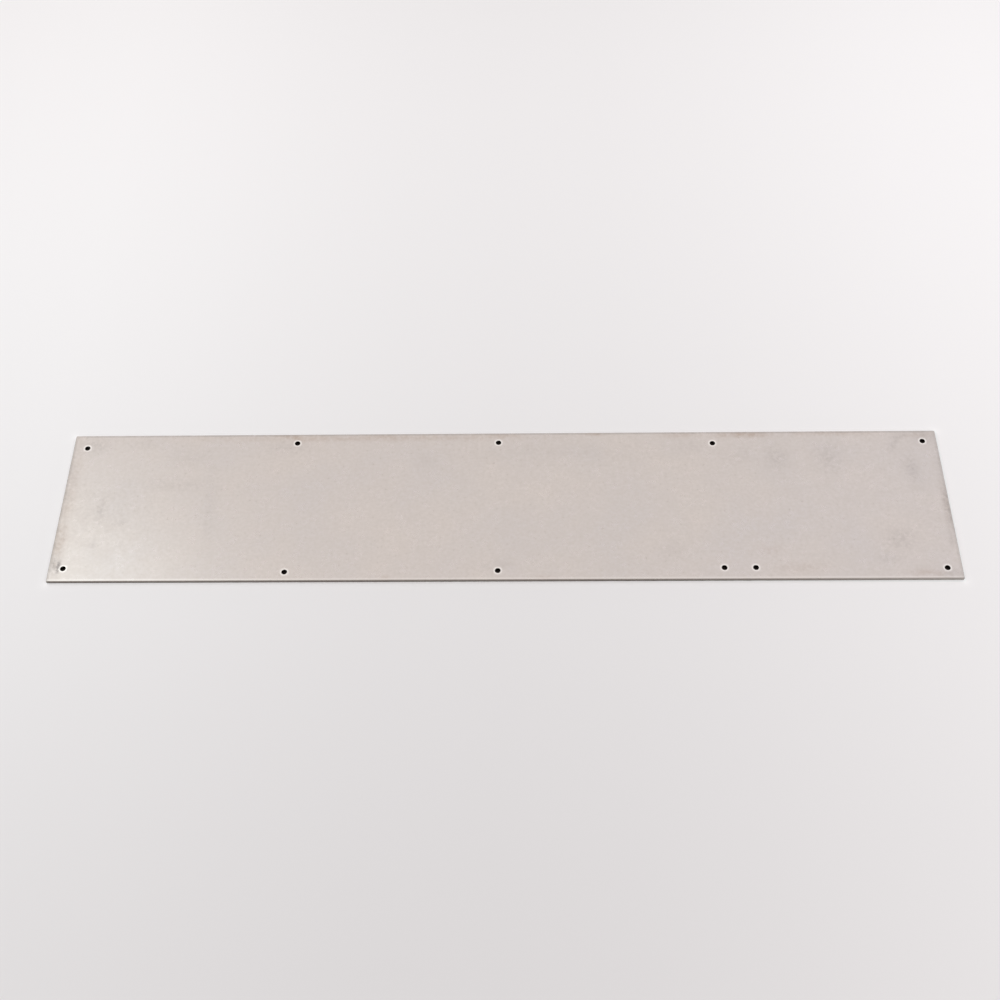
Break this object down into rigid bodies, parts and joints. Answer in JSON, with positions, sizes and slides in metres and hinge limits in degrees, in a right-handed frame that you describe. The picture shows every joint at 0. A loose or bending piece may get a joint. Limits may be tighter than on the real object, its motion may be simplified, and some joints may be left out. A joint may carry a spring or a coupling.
{
  "type": "kick plate",
  "caption": "Long flat rectangular sheet-steel kick plate with square corners and a row of small round screw holes along each long edge.",
  "frame": {"origin": "centre of the back face, which lies on the door or on the ground", "axes": "+X along the plate's length, +Y across its height (up the door when fitted, with the six-hole row at the bottom), +Z out of the front face"},
  "size_m": [0.762, 0.1524, 0.0032],
  "materials": {
    "satin_stainless": "satin polished stainless sheet with light handling marks and edge tarnish"
  },
  "bodies": {
    "root": {"kick_plate": "satin_stainless"}
  },
  "joints": []
}
